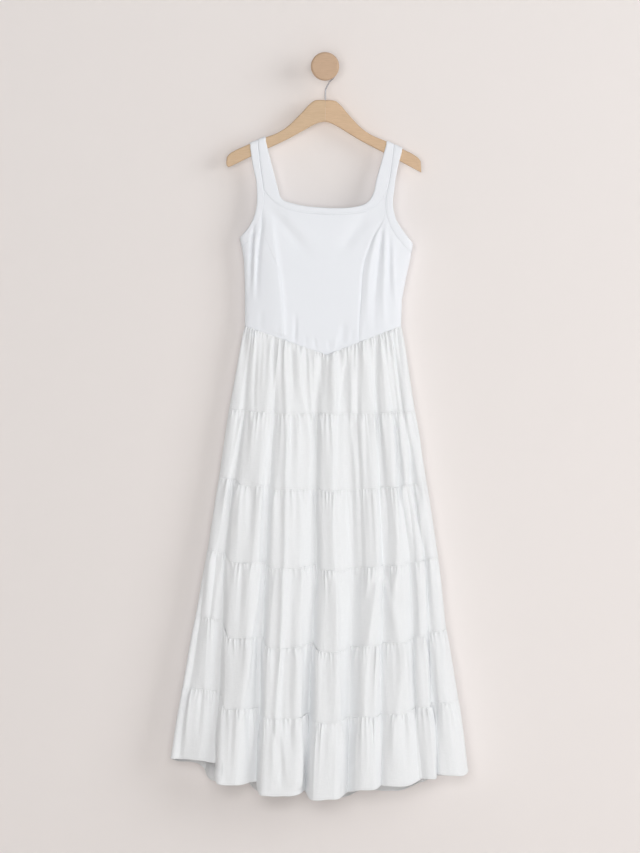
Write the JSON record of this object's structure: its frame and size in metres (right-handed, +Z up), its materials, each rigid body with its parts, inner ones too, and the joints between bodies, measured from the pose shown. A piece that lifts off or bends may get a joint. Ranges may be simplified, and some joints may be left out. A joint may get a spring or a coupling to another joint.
{
  "type": "sleeveless tiered maxi dress on a wooden hanger with a wire hook and wall knob",
  "caption": "Sleeveless square-neck dress with a smooth panelled bodice, pointed waist and gathered tiered skirt, hung by its straps on a flat wooden hanger from a round wall knob",
  "frame": {"origin": "the centre of the wall knob's flat back face, on the wall", "axes": "+Z up, +Y into the wall, -Y toward the viewer in front of the dress, +X to the viewer's right"},
  "size_m": [0.6265, 0.1208, 1.581],
  "materials": {
    "jersey": "smooth fine white jersey",
    "jersey_band": "smooth fine white jersey binding",
    "skirt_cloth": "light woven white cloth, gathered",
    "hanger_pale_wood": "pale lacquered wood",
    "hanger_warm_wood": "pale lacquered wood, a little warmer",
    "steel_wire": "bright steel wire",
    "knob_wood": "smooth matt wood"
  },
  "bodies": {
    "root": {"bodice_centre_front": "jersey", "bodice_side_front_left": "jersey", "bodice_side_front_right": "jersey", "bodice_centre_back": "jersey", "bodice_side_back_left": "jersey", "bodice_side_back_right": "jersey", "neck_band": "jersey_band", "armhole_band_left": "jersey_band", "armhole_band_right": "jersey_band", "skirt_tier_1_front": "skirt_cloth", "skirt_tier_1_back": "skirt_cloth", "skirt_tier_2_front": "skirt_cloth", "skirt_tier_2_back": "skirt_cloth", "skirt_tier_3_front": "skirt_cloth", "skirt_tier_3_back": "skirt_cloth", "skirt_tier_4_front": "skirt_cloth", "skirt_tier_4_back": "skirt_cloth", "skirt_tier_5_front": "skirt_cloth", "skirt_tier_5_back": "skirt_cloth", "skirt_tier_6_front": "skirt_cloth", "skirt_tier_6_back": "skirt_cloth", "hanger_half_left": "hanger_pale_wood", "hanger_half_right": "hanger_warm_wood", "hanger_hook": "steel_wire", "wall_knob": "knob_wood"}
  },
  "joints": []
}
